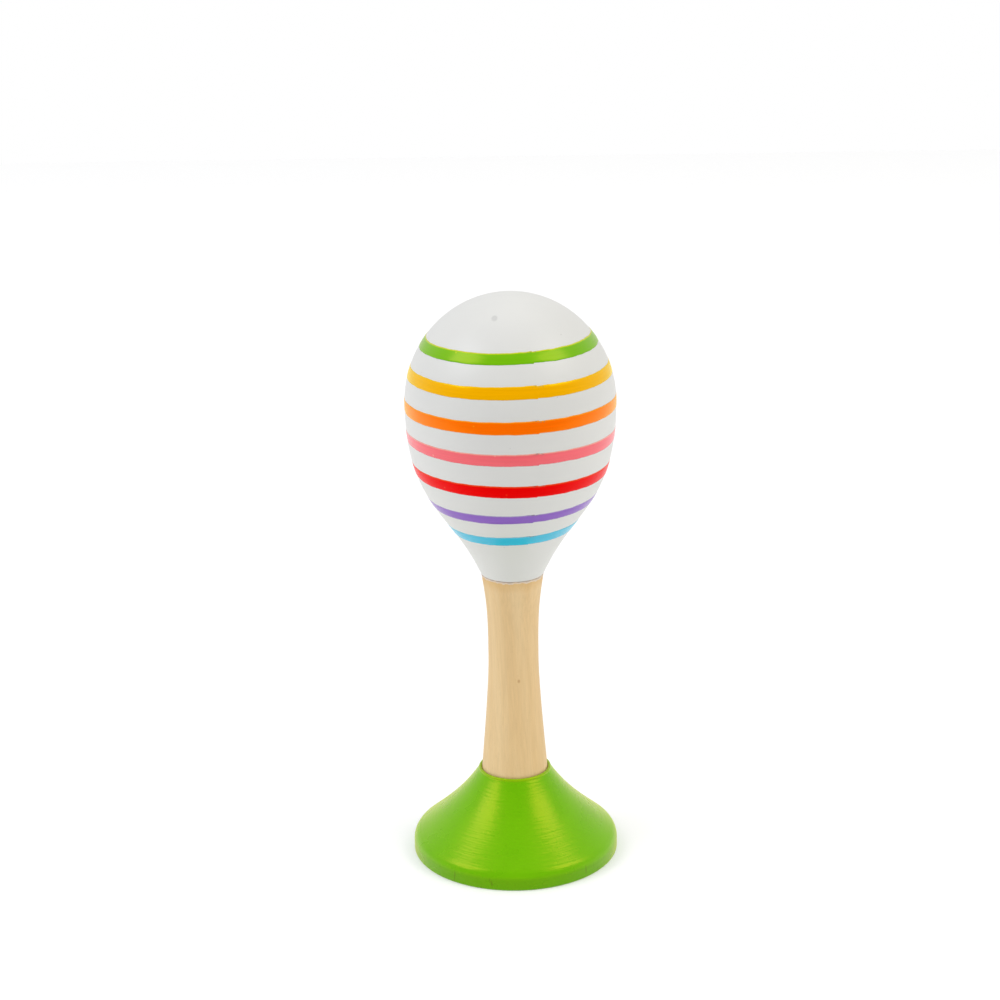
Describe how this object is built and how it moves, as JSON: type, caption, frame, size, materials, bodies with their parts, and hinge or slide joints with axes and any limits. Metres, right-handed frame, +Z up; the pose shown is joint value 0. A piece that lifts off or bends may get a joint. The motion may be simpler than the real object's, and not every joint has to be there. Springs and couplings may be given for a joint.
{
  "type": "baby rattle",
  "caption": "Wooden maraca rattle that stands on a flared round foot: a hollow egg-shaped head with painted bands, a waisted bare wood handle and loose balls inside.",
  "frame": {"origin": "centre of the foot's underside, on the surface that it stands on", "axes": "+Z up along the turning axis, from the foot through the handle to the top of the head; the object is round about Z, and -Y is the front"},
  "size_m": [0.0558, 0.0558, 0.1556],
  "materials": {
    "white_head": "smooth white nursery paint on turned wood, satin",
    "green_foot": "bright green transparent lacquer on turned wood, semi-gloss",
    "bare_handle_wood": "bare sanded pale close-grained hardwood",
    "dowel_wood": "bare fluted beech dowel",
    "band_green": "hand-painted glossy nursery lacquer band, on the head",
    "band_yellow": "hand-painted glossy nursery lacquer band, on the head",
    "band_orange": "hand-painted glossy nursery lacquer band, on the head",
    "band_pink": "hand-painted glossy nursery lacquer band, on the head",
    "band_red": "hand-painted glossy nursery lacquer band, on the head",
    "band_purple": "hand-painted glossy nursery lacquer band, on the head",
    "band_blue": "hand-painted glossy nursery lacquer band, on the head",
    "ball_steel": "polished"
  },
  "bodies": {
    "rattle": {"foot": "green_foot", "foot_dowel": "dowel_wood", "handle": "bare_handle_wood", "head_lower_shell": "white_head", "head_upper_shell": "white_head", "neck_dowel": "dowel_wood"},
    "rattle_ball_01": {"rattle_ball_01": "ball_steel"},
    "rattle_ball_02": {"rattle_ball_02": "ball_steel"},
    "rattle_ball_03": {"rattle_ball_03": "ball_steel"},
    "rattle_ball_04": {"rattle_ball_04": "ball_steel"},
    "rattle_ball_05": {"rattle_ball_05": "ball_steel"},
    "rattle_ball_06": {"rattle_ball_06": "ball_steel"},
    "rattle_ball_07": {"rattle_ball_07": "ball_steel"},
    "rattle_ball_08": {"rattle_ball_08": "ball_steel"},
    "rattle_ball_09": {"rattle_ball_09": "ball_steel"},
    "rattle_ball_10": {"rattle_ball_10": "ball_steel"},
    "rattle_ball_11": {"rattle_ball_11": "ball_steel"},
    "rattle_ball_12": {"rattle_ball_12": "ball_steel"},
    "rattle_ball_13": {"rattle_ball_13": "ball_steel"},
    "rattle_ball_14": {"rattle_ball_14": "ball_steel"},
    "rattle_ball_15": {"rattle_ball_15": "ball_steel"},
    "rattle_ball_16": {"rattle_ball_16": "ball_steel"},
    "rattle_ball_17": {"rattle_ball_17": "ball_steel"},
    "rattle_ball_18": {"rattle_ball_18": "ball_steel"},
    "rattle_ball_19": {"rattle_ball_19": "ball_steel"}
  },
  "joints": [
    {"name": "rattle_ball_01_bounce", "type": "slide", "parent": "rattle", "child": "rattle_ball_01", "axis": [0, 0, 1], "range_m": [0, 0.04785]},
    {"name": "rattle_ball_02_bounce", "type": "slide", "parent": "rattle", "child": "rattle_ball_02", "axis": [0, 0, 1], "range_m": [0, 0.04651]},
    {"name": "rattle_ball_03_bounce", "type": "slide", "parent": "rattle", "child": "rattle_ball_03", "axis": [0, 0, 1], "range_m": [0, 0.04651]},
    {"name": "rattle_ball_04_bounce", "type": "slide", "parent": "rattle", "child": "rattle_ball_04", "axis": [0, 0, 1], "range_m": [0, 0.04651]},
    {"name": "rattle_ball_05_bounce", "type": "slide", "parent": "rattle", "child": "rattle_ball_05", "axis": [0, 0, 1], "range_m": [0, 0.04651]},
    {"name": "rattle_ball_06_bounce", "type": "slide", "parent": "rattle", "child": "rattle_ball_06", "axis": [0, 0, 1], "range_m": [0, 0.04651]},
    {"name": "rattle_ball_07_bounce", "type": "slide", "parent": "rattle", "child": "rattle_ball_07", "axis": [0, 0, 1], "range_m": [0, 0.04651]},
    {"name": "rattle_ball_08_bounce", "type": "slide", "parent": "rattle", "child": "rattle_ball_08", "axis": [0, 0, 1], "range_m": [0, 0.04368]},
    {"name": "rattle_ball_09_bounce", "type": "slide", "parent": "rattle", "child": "rattle_ball_09", "axis": [0, 0, 1], "range_m": [0, 0.04368]},
    {"name": "rattle_ball_10_bounce", "type": "slide", "parent": "rattle", "child": "rattle_ball_10", "axis": [0, 0, 1], "range_m": [0, 0.04368]},
    {"name": "rattle_ball_11_bounce", "type": "slide", "parent": "rattle", "child": "rattle_ball_11", "axis": [0, 0, 1], "range_m": [0, 0.04368]},
    {"name": "rattle_ball_12_bounce", "type": "slide", "parent": "rattle", "child": "rattle_ball_12", "axis": [0, 0, 1], "range_m": [0, 0.04368]},
    {"name": "rattle_ball_13_bounce", "type": "slide", "parent": "rattle", "child": "rattle_ball_13", "axis": [0, 0, 1], "range_m": [0, 0.04368]},
    {"name": "rattle_ball_14_bounce", "type": "slide", "parent": "rattle", "child": "rattle_ball_14", "axis": [0, 0, 1], "range_m": [0, 0.04217]},
    {"name": "rattle_ball_15_bounce", "type": "slide", "parent": "rattle", "child": "rattle_ball_15", "axis": [0, 0, 1], "range_m": [0, 0.04217]},
    {"name": "rattle_ball_16_bounce", "type": "slide", "parent": "rattle", "child": "rattle_ball_16", "axis": [0, 0, 1], "range_m": [0, 0.04217]},
    {"name": "rattle_ball_17_bounce", "type": "slide", "parent": "rattle", "child": "rattle_ball_17", "axis": [0, 0, 1], "range_m": [0, 0.04217]},
    {"name": "rattle_ball_18_bounce", "type": "slide", "parent": "rattle", "child": "rattle_ball_18", "axis": [0, 0, 1], "range_m": [0, 0.04217]},
    {"name": "rattle_ball_19_bounce", "type": "slide", "parent": "rattle", "child": "rattle_ball_19", "axis": [0, 0, 1], "range_m": [0, 0.04217]}
  ]
}
